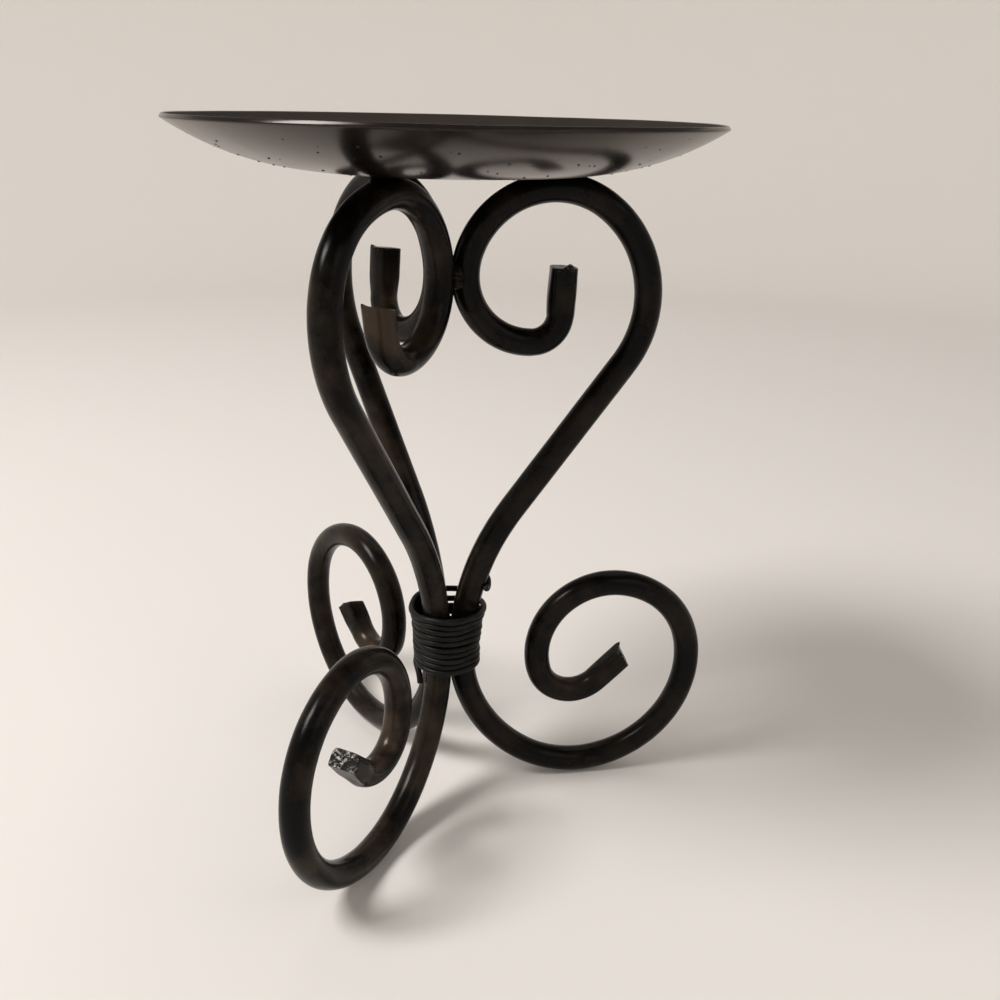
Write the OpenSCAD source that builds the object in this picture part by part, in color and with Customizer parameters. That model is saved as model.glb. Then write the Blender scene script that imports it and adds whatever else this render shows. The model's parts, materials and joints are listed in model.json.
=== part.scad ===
// Candle stand: three scrolled round bars, bound with wire at the waist, carry a shallow dish.
// Millimetres, +Z up. The origin lies on the table, under the axis on which the three bars meet.
// Each bar is one plane curve of tangent bends: a neck and a big scroll above the waist, and a
// foot scroll below it. The bend angles and radii are the driving sizes. The neck's straight run
// follows from them, so that the three upper scrolls always meet on the axis. The bars are alike
// but for their cropped ends, which were bent and cut by hand.

/* [Bars] */
// Diameter of the round bar
bar_d = 8; // [6:0.5:9]
// Clearance between the two bars that come closest to each other
bar_gap = 0.1; // [0.05:0.05:0.3]
// Angle of the back bar from the right bar, seen from above
back_bar_angle = 119; // [114:1:122]
// Angle of the front bar from the right bar, seen from above
front_bar_angle = 234; // [232:1:240]
// Straight run of the bars at the waist
waist_run = 1; // [0.5:0.5:4]

/* [Upper scroll] */
// Radius of the neck bend, on the bar's centre line
neck_radius = 80; // [60:1:95]
// Angle by which the neck leans out
neck_lean = 36; // [32:1:40]
// Radius of the shoulder, the outer bend of the scroll
shoulder_radius = 31.5; // [28:0.5:34]
// Angle of the shoulder
shoulder_turn = 93; // [85:1:100]
// Radius of the crown, the bend under the dish
crown_radius = 25; // [22:0.5:28]
// Angle of the crown
crown_turn = 106; // [98:1:114]
// Radius of the inner bend, which meets the other scrolls
inner_radius = 19; // [16:0.5:20.5]
// Angle of the inner bend
inner_turn = 108; // [100:1:116]
// Radius of the hook at the end of the scroll
hook_radius = 8; // [7:0.5:9]
// Angle of the right bar's hook
right_hook_turn = 88; // [78:1:98]
// Angle of the back bar's hook
back_hook_turn = 94; // [84:1:100]
// Angle of the front bar's hook
front_hook_turn = 66; // [60:1:90]
// Length of the cropped end of the right bar's scroll
right_hook_end = 13; // [9:0.5:15]
// Length of the cropped end of the back bar's scroll
back_hook_end = 14; // [9:0.5:15]
// Length of the cropped end of the front bar's scroll
front_hook_end = 11.5; // [9:0.5:14]

/* [Foot scroll] */
// Radius of the bend from the waist down to the floor
ankle_radius = 45; // [40:1:50]
// Angle of the bend from the waist
ankle_turn = 59; // [50:1:66]
// Radius of the sole, the bend that stands on the floor
sole_radius = 35; // [32:0.5:37]
// Angle of the sole
sole_turn = 132; // [124:1:140]
// Radius of the toe, the bend over the top of the foot
toe_radius = 28; // [26:0.5:31]
// Angle of the toe
toe_turn = 72; // [64:1:80]
// Radius of the bend that comes back down
instep_radius = 23; // [21:0.5:24]
// Angle of the bend that comes back down
instep_turn = 113; // [105:1:120]
// Radius of the curl at the end of the foot
curl_radius = 11.5; // [10:0.5:13]
// Angle of the curl
curl_turn = 118; // [108:1:126]
// Length of the cropped end of the right bar's foot
right_curl_end = 12; // [9:0.5:14]
// Length of the cropped end of the back bar's foot
back_curl_end = 10.5; // [9:0.5:14]
// Length of the cropped end of the front bar's foot
front_curl_end = 12; // [9:0.5:14]

/* [Cropped ends] */
// Thickness to which the shear squeezes a bar end
crop_thickness = 7; // [5:0.25:7.5]
// Width to which the squeezed end spreads
crop_width = 8.8; // [8.2:0.1:9.6]
// Diameter across the rounded corners of the squeezed end
crop_corner_d = 9.6; // [9:0.1:10.5]
// Length over which the round bar runs into the squeezed end
crop_run = 5; // [3:0.5:7]
// Slant of the sheared face
crop_slant = 8; // [0:1:15]

/* [Dish] */
// Diameter of the dish at its rim
dish_d = 144; // [120:1:180]
// Diameter of the flat floor
dish_floor_d = 64; // [60:1:80]
// Height of the rim above the flat underside
dish_rise = 12; // [8:0.5:20]
// Thickness of the sheet
dish_sheet = 1.2; // [0.8:0.1:2]
// Gap between the scroll crowns and the dish, which the welds bridge
dish_seat = 0.1; // [0.05:0.05:0.3]

/* [Binding wire] */
// Diameter of the wire
wire_d = 1.6; // [1.2:0.1:1.8]
// Gap between one turn and the next
wire_gap = 0.42; // [0.42:0.02:0.8]
// Clearance between the wire and the bars
wire_clearance = 0.1; // [0.05:0.05:0.3]
// Number of turns round the three bars
wire_turns = 10.5; // [6.5:1:12.5]
// Height of the first turn above the middle of the waist
wrap_rise = 17; // [12:0.5:18]
// How far the wire is drawn in midway between the bars
wrap_draw = 0.5; // [0:0.1:0.8]

/* [Welds] */
// Diameter of the beads where the scrolls meet
scroll_weld_d = 4.2; // [3.6:0.1:5]
// Length of the beads where the scrolls meet
scroll_weld_length = 6.5; // [5.5:0.5:8]
// Diameter of the beads under the dish
dish_weld_d = 3.6; // [3:0.1:4]
// Length of the beads under the dish
dish_weld_length = 8; // [6:0.5:9]

/* [Hidden] */
$fn = 96;

right_bar_angle = 0;
// Where one run of a bar meets the next: how far each stops short, and how proud the ball stands.
seam_trim = 0.05;
seam_proud = 0.04;
iron = [0.14, 0.12, 0.11];
lacquer = [0.1, 0.09, 0.09];
annealed = [0.17, 0.16, 0.15];
bead = [0.2, 0.18, 0.17];

// Where the bars meet: the two that stand closest clear each other by bar_gap.
closest_angle = min(
    back_bar_angle - right_bar_angle,
    front_bar_angle - back_bar_angle,
    right_bar_angle + 360 - front_bar_angle
);
meet_r = (bar_d + bar_gap) / (2 * sin(closest_angle / 2));

// A run is [radius, angle], which turns left for a positive angle, or [0, length] for a straight.
// Its state is [[distance from the axis, height], heading].
function run_centre(state, run) =
    state[0] + sign(run[1]) * run[0] * [-sin(state[1]), cos(state[1])];
function state_after(state, run) = run[0] == 0
    ? [state[0] + run[1] * [cos(state[1]), sin(state[1])], state[1]]
    : let (heading = state[1] + run[1])
      [run_centre(state, run) - sign(run[1]) * run[0] * [-sin(heading), cos(heading)], heading];
function state_before(start, runs, i) =
    i < 1 ? start : state_after(state_before(start, runs, i - 1), runs[i - 1]);

// The foot, from the waist down. Its sole touches the floor.
foot_runs = [
    [0, waist_run / 2],
    [ankle_radius, ankle_turn],
    [sole_radius, sole_turn],
    [toe_radius, toe_turn],
    [instep_radius, instep_turn],
    [curl_radius, curl_turn]
];
sole = 2;
sole_depth = sole_radius
    - run_centre(state_before([[meet_r, 0], -90], foot_runs, sole), foot_runs[sole])[1];
waist_z = sole_depth + bar_d / 2;
foot_start = [[meet_r, waist_z], -90];

// The scroll, from the waist up. Its straight run brings the inner bend to meet_r.
function scroll_runs(straight) = [
    [0, waist_run / 2],
    [neck_radius, -neck_lean],
    [0, straight],
    [shoulder_radius, shoulder_turn],
    [crown_radius, crown_turn],
    [inner_radius, inner_turn]
];
scroll_start = [[meet_r, waist_z], 90];
crown = 4;
inner = 5;
short_of_axis = meet_r + inner_radius
    - run_centre(state_before(scroll_start, scroll_runs(0), inner), scroll_runs(0)[inner])[0];
neck_straight = short_of_axis / sin(neck_lean);
upper_runs = scroll_runs(neck_straight);
crown_centre = run_centre(state_before(scroll_start, upper_runs, crown), upper_runs[crown]);
crown_r = crown_centre[0];
crown_top = crown_centre[1] + crown_radius + bar_d / 2;
inner_z = run_centre(state_before(scroll_start, upper_runs, inner), upper_runs[inner])[1];

// The dish: a flat floor and one bend up to the rim.
dish_z = crown_top + dish_seat;
wall_reach = (dish_d - dish_floor_d) / 2;
wall_radius = (wall_reach * wall_reach + dish_rise * dish_rise) / (2 * dish_rise);
rim_slope = asin(wall_reach / wall_radius);
wall_facets = 720;

// The wire's centre line. It winds down round the outer sides of the bars.
wire_pitch = wire_d + wire_gap;
wire_off = wire_d / 2 + wire_clearance;
wrap_top = waist_z + wrap_rise;
turn_rings = 24;
function neck_outside(z) = let (up = max(0, z - waist_z - waist_run / 2))
    meet_r + neck_radius - sqrt(pow(neck_radius - bar_d / 2, 2) - up * up);
function ankle_outside(z) = let (down = max(0, waist_z - waist_run / 2 - z))
    meet_r + ankle_radius - sqrt(pow(ankle_radius - bar_d / 2, 2) - down * down);
function bars_outside(z) = max(neck_outside(z + wire_d / 2), ankle_outside(z - wire_d / 2));
bars_round = 3;
function drawn_in(turn) = wrap_draw * (1 - cos(bars_round * 360 * turn)) / 2;
function wrap_point(turn) = let (
        z = wrap_top - wire_pitch * turn,
        r = bars_outside(z) + wire_off - drawn_in(turn)
    ) [r * cos(360 * turn), r * sin(360 * turn), z];

// A point beside the right bar: the angle goes round the bar from its outer side.
function bar_centre_at(z) = let (up = max(0, z - waist_z - waist_run / 2))
    meet_r + neck_radius - sqrt(neck_radius * neck_radius - up * up);
function beside_bar(around, rise) = let (
        z = wrap_top + rise,
        slope = asin(max(0, z - waist_z - waist_run / 2) / neck_radius),
        reach = bar_d / 2 + wire_off
    ) [
        bar_centre_at(z) + reach * cos(around) / cos(slope),
        reach * sin(around),
        z
    ];
// The free end: from its tip on the outer side of the right bar it rises, hooks round behind the
// bar and runs down into the first turn. Each entry is [angle round the bar, height over the first
// turn].
tip_route = [
    [-32, 3.4],
    [-14, 4],
    [4, 5.2],
    [16, 6.6],
    [32, 7.8],
    [52, 8],
    [72, 7],
    [84, 5.2],
    [84, 3.4],
    [74, 1.9]
];
first_turn = 55 / 360;
tip_points = [for (stop = tip_route) beside_bar(stop[0], stop[1])];
tip_steps = 3;
function curve_point(a, b, c, d, t) = 0.5 * (
    2 * b + (c - a) * t + (2 * a - 5 * b + 4 * c - d) * t * t
    + (3 * b - 3 * c + d - a) * t * t * t
);
wrap_points = [
    for (i = [0 : floor((wire_turns - first_turn) * turn_rings)])
        wrap_point(first_turn + i / turn_rings)
];
tip_line = concat(
    [tip_points[0] + (tip_points[0] - tip_points[1])],
    tip_points,
    [wrap_points[0], wrap_points[1]]
);
tip_curve = [
    for (i = [1 : len(tip_line) - 3], k = [0 : tip_steps - 1])
        curve_point(tip_line[i - 1], tip_line[i], tip_line[i + 1], tip_line[i + 2], k / tip_steps)
];
// The other end is bent down beside the front bar and runs straight for one wire diameter.
// Each entry is [angle on round the axis, step in to the axis, height under the last turn].
tuck_route = [
    [9, 0.2, 0.5],
    [14, 0.4, 1.5],
    [16, 0.6, 2.7],
    [16, 0.6, 2.7 + wire_d]
];
last_turn_end = wrap_points[len(wrap_points) - 1];
last_turn_r = norm([last_turn_end[0], last_turn_end[1]]);
tuck_angle = atan2(last_turn_end[1], last_turn_end[0]);
tuck_points = [
    for (stop = tuck_route)
        let (r = last_turn_r - stop[1], angle = tuck_angle + stop[0])
            [r * cos(angle), r * sin(angle), last_turn_end[2] - stop[2]]
];
tip_end = tip_points[0] + wire_d * unit(tip_points[0] - tip_points[1]);
wire_line = concat([tip_end], tip_curve, wrap_points, tuck_points);

// The least gap from the wire to itself, over points that lie apart along the wire.
wire_steps = [for (i = [1 : len(wire_line) - 1]) norm(wire_line[i] - wire_line[i - 1])];
wire_reach = [
    for (i = 0, reach = 0; i < len(wire_line);
         reach = reach + (i < len(wire_steps) ? wire_steps[i] : 0), i = i + 1)
        reach
];
apart = 2.5 * wire_d;
wire_self_gap = min([
    for (i = [0 : len(wire_line) - 1], j = [i + 1 : len(wire_line) - 1])
        if (wire_reach[j] - wire_reach[i] > apart) norm(wire_line[j] - wire_line[i])
]) - wire_d;
echo(wire_self_gap = wire_self_gap);

function unit(v) = v / norm(v);
function tangent_at(line, i) =
    unit(line[min(i + 1, len(line) - 1)] - line[max(i - 1, 0)]);
function across(v, tangent) = unit(v - (v * tangent) * tangent);

// One closed tube along a line of points. Each ring's frame is carried on from the last one.
module tube(line, d, sides) {
    count = len(line);
    tangents = [for (i = [0 : count - 1]) tangent_at(line, i)];
    sideways = [
        for (i = 0, v = across([0, 0, 1], tangents[0]); i < count;
             i = i + 1, v = across(v, tangents[min(i, count - 1)]))
            v
    ];
    rings = [
        for (i = [0 : count - 1], k = [0 : sides - 1])
            line[i] + d / 2 * (cos(360 * k / sides) * sideways[i]
                + sin(360 * k / sides) * cross(tangents[i], sideways[i]))
    ];
    first_cap = [for (k = [1 : sides - 2]) [0, k + 1, k]];
    last = (count - 1) * sides;
    last_cap = [for (k = [1 : sides - 2]) [last, last + k, last + k + 1]];
    walls = [
        for (i = [0 : count - 2], k = [0 : sides - 1])
            let (a = i * sides + k, b = i * sides + (k + 1) % sides)
            each [[a, b, b + sides], [a, b + sides, a + sides]]
    ];
    outward = [for (face = concat(first_cap, walls, last_cap)) [face[0], face[2], face[1]]];
    polyhedron(points = rings, faces = outward);
}

// Stands what is drawn along +Z at a state of the plane curve, along its heading.
module at_state(state) {
    translate([state[0][0], 0, state[0][1]])
        rotate([0, 90 - state[1], 0])
            children();
}

// One bend or straight of the round bar, short of its two ends by seam_trim.
module bar_run(state, run) {
    if (run[0] == 0) {
        at_state(state)
            translate([0, 0, seam_trim])
                cylinder(d = bar_d, h = run[1] - 2 * seam_trim);
    } else {
        centre = run_centre(state, run);
        from_angle = state[1] - sign(run[1]) * 90;
        trim_angle = seam_trim / run[0] * 180 / PI;
        translate([centre[0], 0, centre[1]])
            rotate([90, 0, 0])
                rotate([0, 0, from_angle + min(0, run[1]) + trim_angle])
                    rotate_extrude(angle = abs(run[1]) - 2 * trim_angle)
                        translate([run[0], 0])
                            circle(d = bar_d);
    }
}

// A chain of runs. A ball, a hair wider than the bar, closes each seam from one run to the next.
module bar_chain(start, runs) {
    for (i = [0 : len(runs) - 1])
        bar_run(state_before(start, runs, i), runs[i]);
    for (i = [0 : len(runs)])
        at_state(state_before(start, runs, i))
            sphere(d = bar_d + seam_proud);
}

// The sheared end of a bar: the round runs into a squeezed section, cut off on a slant.
module cropped_end(length) {
    difference() {
        union() {
            cylinder(d1 = bar_d, d2 = crop_thickness, h = crop_run);
            intersection() {
                translate([-crop_thickness / 2, -crop_width / 2, 0])
                    cube([crop_thickness, crop_width, length]);
                union() {
                    cylinder(d1 = bar_d, d2 = crop_corner_d, h = crop_run);
                    translate([0, 0, crop_run])
                        cylinder(d = crop_corner_d, h = length);
                }
            }
        }
        translate([0, 0, length])
            rotate([0, crop_slant, 0])
                translate([-bar_d, -bar_d, 0])
                    cube([2 * bar_d, 2 * bar_d, bar_d]);
    }
}

// One whole scrolled bar, standing in the XZ plane.
module scroll_bar(hook_turn, hook_end, curl_end) {
    hooked_runs = concat(upper_runs, [[hook_radius, hook_turn]]);
    color(iron) {
        bar_chain(foot_start, foot_runs);
        bar_chain(scroll_start, hooked_runs);
        at_state(state_before(foot_start, foot_runs, len(foot_runs)))
            cropped_end(curl_end);
        at_state(state_before(scroll_start, hooked_runs, len(hooked_runs)))
            cropped_end(hook_end);
    }
}

module scroll_bar_right() {
    rotate([0, 0, right_bar_angle])
        scroll_bar(right_hook_turn, right_hook_end, right_curl_end);
}

module scroll_bar_back() {
    rotate([0, 0, back_bar_angle])
        scroll_bar(back_hook_turn, back_hook_end, back_curl_end);
}

module scroll_bar_front() {
    rotate([0, 0, front_bar_angle])
        scroll_bar(front_hook_turn, front_hook_end, front_curl_end);
}

module dish() {
    color(lacquer)
        translate([0, 0, dish_z])
            rotate_extrude() {
                square([dish_floor_d / 2, dish_sheet]);
                intersection() {
                    translate([dish_floor_d / 2, wall_radius])
                        difference() {
                            circle(r = wall_radius, $fn = wall_facets);
                            circle(r = wall_radius - dish_sheet, $fn = wall_facets);
                        }
                    translate([dish_floor_d / 2, wall_radius])
                        polygon([
                            [0, 0],
                            [0, -2 * wall_radius],
                            2 * wall_radius * [tan(rim_slope), -1]
                        ]);
                }
            }
}

module binding_wire() {
    color(annealed) tube(wire_line, wire_d, 6);
}

// A weld bead with round ends, lying along +Z.
module weld_bead(d, length) {
    translate([0, 0, d / 2 - length / 2]) {
        cylinder(d = d, h = length - d);
        sphere(d = d);
        translate([0, 0, length - d]) sphere(d = d);
    }
}

// The bead in the valley between two upper scrolls, where they meet.
module scroll_weld(angle_a, angle_b) {
    middle = (angle_a + angle_b) / 2;
    half = (angle_b - angle_a) / 2;
    color(bead)
        difference() {
            rotate([0, 0, middle])
                translate([meet_r * cos(half) + scroll_weld_d / 2, 0, inner_z])
                    weld_bead(scroll_weld_d, scroll_weld_length);
            for (angle = [angle_a, angle_b])
                rotate([0, 0, angle])
                    bar_run(state_before(scroll_start, upper_runs, inner), upper_runs[inner]);
        }
}

module scroll_weld_front() {
    scroll_weld(front_bar_angle, right_bar_angle + 360);
}

module scroll_weld_back() {
    scroll_weld(right_bar_angle, back_bar_angle);
}

module scroll_weld_left() {
    scroll_weld(back_bar_angle, front_bar_angle);
}

// The bead between a scroll's crown and the dish, on one side of the bar.
module dish_weld(angle, side) {
    drop = dish_weld_d / 3;
    aside = sqrt(pow(bar_d / 2, 2) - pow(bar_d / 2 - drop, 2));
    color(bead)
        rotate([0, 0, angle])
            difference() {
                translate([crown_r, side * aside, crown_top - drop])
                    rotate([0, 90, 0])
                        weld_bead(dish_weld_d, dish_weld_length);
                bar_run(state_before(scroll_start, upper_runs, crown), upper_runs[crown]);
                translate([crown_r - bar_d, -bar_d, dish_z])
                    cube([2 * bar_d, 2 * bar_d, bar_d]);
            }
}

module dish_weld_right() {
    dish_weld(right_bar_angle, 1);
}

module dish_weld_back() {
    dish_weld(back_bar_angle, -1);
}

module dish_weld_front() {
    dish_weld(front_bar_angle, -1);
}

dish();
scroll_bar_right();
scroll_bar_back();
scroll_bar_front();
binding_wire();
scroll_weld_front();
scroll_weld_back();
scroll_weld_left();
dish_weld_right();
dish_weld_back();
dish_weld_front();
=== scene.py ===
import json
import math
from typing import NamedTuple

import bpy
import numpy as np
from mathutils import Matrix, Vector, noise


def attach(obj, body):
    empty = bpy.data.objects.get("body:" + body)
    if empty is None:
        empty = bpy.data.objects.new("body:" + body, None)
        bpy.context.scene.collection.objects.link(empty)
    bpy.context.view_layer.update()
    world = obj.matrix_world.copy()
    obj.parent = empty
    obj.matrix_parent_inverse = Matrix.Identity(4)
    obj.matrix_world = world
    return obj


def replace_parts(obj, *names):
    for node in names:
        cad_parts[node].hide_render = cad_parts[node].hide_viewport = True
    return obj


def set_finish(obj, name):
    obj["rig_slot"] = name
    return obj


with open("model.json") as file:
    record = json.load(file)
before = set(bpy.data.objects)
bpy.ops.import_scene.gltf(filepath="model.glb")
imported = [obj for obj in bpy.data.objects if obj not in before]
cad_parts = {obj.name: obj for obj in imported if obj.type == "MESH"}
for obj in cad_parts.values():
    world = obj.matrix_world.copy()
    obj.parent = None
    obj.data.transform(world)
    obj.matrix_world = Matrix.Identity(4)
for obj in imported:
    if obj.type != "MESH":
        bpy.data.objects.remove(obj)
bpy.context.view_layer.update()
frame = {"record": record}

MM = 0.001
TAU = 2 * math.pi
UP = np.array([0.0, 0.0, 1.0])

# ---------------------------------------------------------------- sizes of the solids, in millimetres
BAR_D = 8.0
BAR_GAP = 0.1
# Where the bars stand round the axis, in degrees from the right bar.
BAR_ANGLES = {"right": 0.0, "back": 119.0, "front": 234.0}
WAIST_RUN = 1.0
NECK_RADIUS = 80.0
NECK_LEAN = 36.0
# A bend is (radius, angle in degrees).
SHOULDER = (31.5, 93.0)
CROWN = (25.0, 106.0)
INNER = (19.0, 108.0)
HOOK_RADIUS = 8.0
HOOK_END = {"right": 13.0, "back": 14.0, "front": 11.5}
ANKLE = (45.0, 59.0)
SOLE = (35.0, 132.0)
TOE = (28.0, 72.0)
INSTEP = (23.0, 113.0)
CURL = (11.5, 118.0)
CURL_END = {"right": 12.0, "back": 10.5, "front": 12.0}
CROP_THICKNESS = 7.0
CROP_WIDTH = 8.8
CROP_CORNER_D = 9.6
CROP_RUN = 5.0
CROP_SLANT = 8.0
DISH_D = 144.0
DISH_FLOOR_D = 64.0
DISH_RISE = 12.0
DISH_SHEET = 1.2
DISH_SEAT = 0.1
WIRE_CAD_D = 1.6
WIRE_GAP = 0.42
WIRE_PITCH = WIRE_CAD_D + WIRE_GAP
WIRE_CLEARANCE = 0.1
WIRE_TURNS = 10.5
WRAP_RISE = 17.0
WRAP_DRAW = 0.5
SCROLL_WELD_D = 4.2
SCROLL_WELD_LENGTH = 6.5
DISH_WELD_D = 3.6
DISH_WELD_LENGTH = 8.0


# ---------------------------------------------------------------- the plane curve of a bar
# A state is (point, heading in degrees). A run is a bend or (0, length) for a straight.
def centre_of(state, bend):
    """The centre of a bend that starts at a state."""
    (x, z), heading = state
    a = math.radians(heading)
    side = math.copysign(*bend)
    return x - side * math.sin(a), z + side * math.cos(a)


def after(state, run):
    """The state at the end of a run that starts at a state."""
    (x, z), heading = state
    radius, amount = run
    if radius == 0:
        a = math.radians(heading)
        return (x + amount * math.cos(a), z + amount * math.sin(a)), heading
    centre_x, centre_z = centre_of(state, run)
    a = math.radians(heading + amount)
    side = math.copysign(radius, amount)
    return (centre_x + side * math.sin(a), centre_z - side * math.cos(a)), heading + amount


def centre_in(start, runs, bend):
    """The centre of one of the bends in a chain of runs."""
    state = start
    for run in runs[:runs.index(bend)]:
        state = after(state, run)
    return centre_of(state, bend)


def scroll_runs(straight):
    """The scroll, from the waist up."""
    return [(0, WAIST_RUN / 2), (NECK_RADIUS, -NECK_LEAN), (0, straight), SHOULDER, CROWN, INNER]


UPWARD, DOWNWARD = 90.0, -90.0
ROUND_THE_AXIS = [*BAR_ANGLES.values(), 360.0]
CLOSEST = min(b - a for a, b in zip(ROUND_THE_AXIS, ROUND_THE_AXIS[1:]))
MEET_R = (BAR_D + BAR_GAP) / (2 * math.sin(math.radians(CLOSEST / 2)))

# The foot, from the waist down. Its sole touches the floor.
FOOT_RUNS = [(0, WAIST_RUN / 2), ANKLE, SOLE, TOE, INSTEP, CURL]
WAIST_Z = SOLE[0] - centre_in(((MEET_R, 0.0), DOWNWARD), FOOT_RUNS, SOLE)[1] + BAR_D / 2
FOOT_START = ((MEET_R, WAIST_Z), DOWNWARD)

# The neck's straight run brings the inner bend to the axis.
SCROLL_START = ((MEET_R, WAIST_Z), UPWARD)
SHORT_OF_AXIS = MEET_R + INNER[0] - centre_in(SCROLL_START, scroll_runs(0.0), INNER)[0]
SCROLL_RUNS = scroll_runs(SHORT_OF_AXIS / math.sin(math.radians(NECK_LEAN)))
CROWN_R, CROWN_Z = centre_in(SCROLL_START, SCROLL_RUNS, CROWN)
CROWN_TOP = CROWN_Z + CROWN[0] + BAR_D / 2
INNER_Z = centre_in(SCROLL_START, SCROLL_RUNS, INNER)[1]
DISH_Z = CROWN_TOP + DISH_SEAT


def trace(start, runs, step):
    """Points, headings and curvatures along a chain of runs, about one step apart."""
    points, headings, bends = [], [], []
    state = start
    for radius, amount in runs:
        length = amount if radius == 0 else abs(math.radians(amount)) * radius
        count = max(1, round(length / step))
        for i in range(count):
            point, heading = after(state, (radius, amount * i / count)) if i else state
            points.append(point)
            headings.append(heading)
            bends.append(0.0 if radius == 0 else math.copysign(1 / radius, amount))
        state = after(state, (radius, amount))
    points.append(state[0])
    headings.append(state[1])
    bends.append(0.0)
    return np.array(points), np.radians(headings), np.array(bends)


# ---------------------------------------------------------------- mesh helpers
def smoothstep(a, b, x):
    t = np.clip((x - a) / (b - a), 0.0, 1.0)
    return t * t * (3 - 2 * t)


def run_lengths(line):
    """How far along a line each of its points lies."""
    return np.concatenate([[0.0], np.cumsum(np.linalg.norm(np.diff(line, axis=0), axis=1))])


def direction(angle):
    """The level direction at an angle from the right bar, and the one a quarter turn further on."""
    return (np.array([math.cos(angle), math.sin(angle), 0.0]),
            np.array([-math.sin(angle), math.cos(angle), 0.0]))


def rumple(point, size, seed=0.0):
    """Smooth noise from -1 to 1 at a size in millimetres."""
    return noise.noise(Vector(point) / size + Vector((seed, seed * 1.7, seed * 0.6)))


def band_faces(low, high, sides, onward=True):
    """Quads between two rings of points, given where each ring starts."""
    band = [(low + k, low + (k + 1) % sides, high + (k + 1) % sides, high + k) for k in range(sides)]
    return band if onward else [face[::-1] for face in band]


def strip_faces(rings, sides, first=0):
    """Quads between successive rings of equally many points."""
    starts = [first + i * sides for i in range(rings)]
    return [face for low, high in zip(starts, starts[1:]) for face in band_faces(low, high, sides)]


def fan_faces(ring, sides, middle, onward=True):
    """Triangles between a ring of points and one point in its middle."""
    fan = [(ring + k, ring + (k + 1) % sides, middle) for k in range(sides)]
    return fan if onward else [face[::-1] for face in fan]


def add_mesh(name, verts, faces, values=None, vectors=None):
    """A smooth-shaded mesh object, from millimetres, with named float and vector attributes."""
    mesh = bpy.data.meshes.new(name)
    mesh.from_pydata((np.asarray(verts) * MM).tolist(), [], faces)
    mesh.update()
    for key, data in (values or {}).items():
        mesh.attributes.new(key, "FLOAT", "POINT").data.foreach_set(
            "value", np.asarray(data, dtype=np.float32).ravel())
    for key, data in (vectors or {}).items():
        mesh.attributes.new(key, "FLOAT_VECTOR", "POINT").data.foreach_set(
            "vector", np.asarray(data, dtype=np.float32).ravel())
    mesh.polygons.foreach_set("use_smooth", [True] * len(mesh.polygons))
    obj = bpy.data.objects.new(name, mesh)
    bpy.context.scene.collection.objects.link(obj)
    return obj


# ---------------------------------------------------------------- the three scrolled bars
BAR_SIDES = 64
BAR_STEP = 0.9
PHI = np.arange(BAR_SIDES) * TAU / BAR_SIDES
# The hook of each scroll and its straight end. The front bar's hook was bent in one longer sweep
# than on the solid, so less of its end is left straight.
HOOK_RUNS = {"right": [(HOOK_RADIUS, 88.0), (0, HOOK_END["right"])],
             "back": [(HOOK_RADIUS, 94.0), (0, HOOK_END["back"])],
             "front": [(11.0, 79.0), (0, 6.5)]}
# The front bar's shoulder stands out and to one side, by this much each way.
BOWED = {"front": (1.0, -0.97)}
# Where along the bar the bow starts, is full, begins to ease, and ends.
BOW_START, BOW_FULL, BOW_EASES, BOW_END = 350.0, 388.0, 392.0, 412.0
# The bar is a little uneven: the size, depth and seed of each kind of wave.
BAR_WAVES = [(11.0, 0.05, 0.0), (3.2, 0.018, 5.0)]
# A bend flattens the bar: by how much, and at what radius of bend it does so fully.
OVAL_DEPTH = 0.14
OVAL_RADIUS = 9.0
# By how much sooner the squeeze starts to ease, and later it ends, than on the solid.
SQUEEZE_SOONER = 1.5
SQUEEZE_LATER = 0.5
# Between these distances from the end, a thinned side comes back to its full thickness.
THINNED_RUN = (-3.0, 12.0)
# How far from the end the slant of the sheared face and the worn edge reach.
SLANT_REACH = 4.0
EDGE_REACH = 1.1
# The edge is worn unevenly round the bar: how much, how unevenly, in how many places, and how much
# where no bare metal shows.
EDGE_WORN = 0.6
EDGE_UNEVEN = 0.4
EDGE_PLACES = 3
EDGE_PAINTED = 0.2
# The sheared face: its rings as shares of the section, and how proud its lip, face and middle are.
FACE_RINGS = (0.97, 0.93, 0.87, 0.79, 0.71, 0.62, 0.53, 0.44, 0.34, 0.24, 0.13)
LIP_PROUD = 0.16
FACE_PROUD = 0.2
MIDDLE_PROUD = 0.18
# Between these shares of the section the burr rises to its full height.
BURR_SHARES = (0.55, 0.92)
# The tears in the face: the size, depth, height in the noise, and way of the seed of each kind.
TEARS = [(1.5, 0.26, 0.0, 1), (0.6, 0.13, 3.0, -1)]
# What is left of the tears under paint and on the lip, and of the bare metal on the lip.
PAINTED_TEARS = 0.35
LIP_TEARS = 0.3
LIP_BARE = 0.6
# How bright the face's own worn spots are.
FACE_EDGE = 0.2
# The inside of a bend of this radius is rubbed fully. The wear is spread over so many rings.
RUBBED_RADIUS = 10.0
BEND_BLUR = 13
# Between these distances from a handled end, its rubbing fades.
HANDLED_RUN = (12.0, 26.0)
# How far along the paint's pattern each bar starts, so that no two wear alike, and how worn it is.
PAINT_SHIFT = {"right": 700.0, "back": 1400.0, "front": 0.0}
PAINT_WORN = {"right": 0.45, "back": 0.9, "front": 1.0}
# The seeds of the bars' unevenness.
BAR_SEEDS = {"right": 3.1, "back": 10.4, "front": 17.7}


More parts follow.
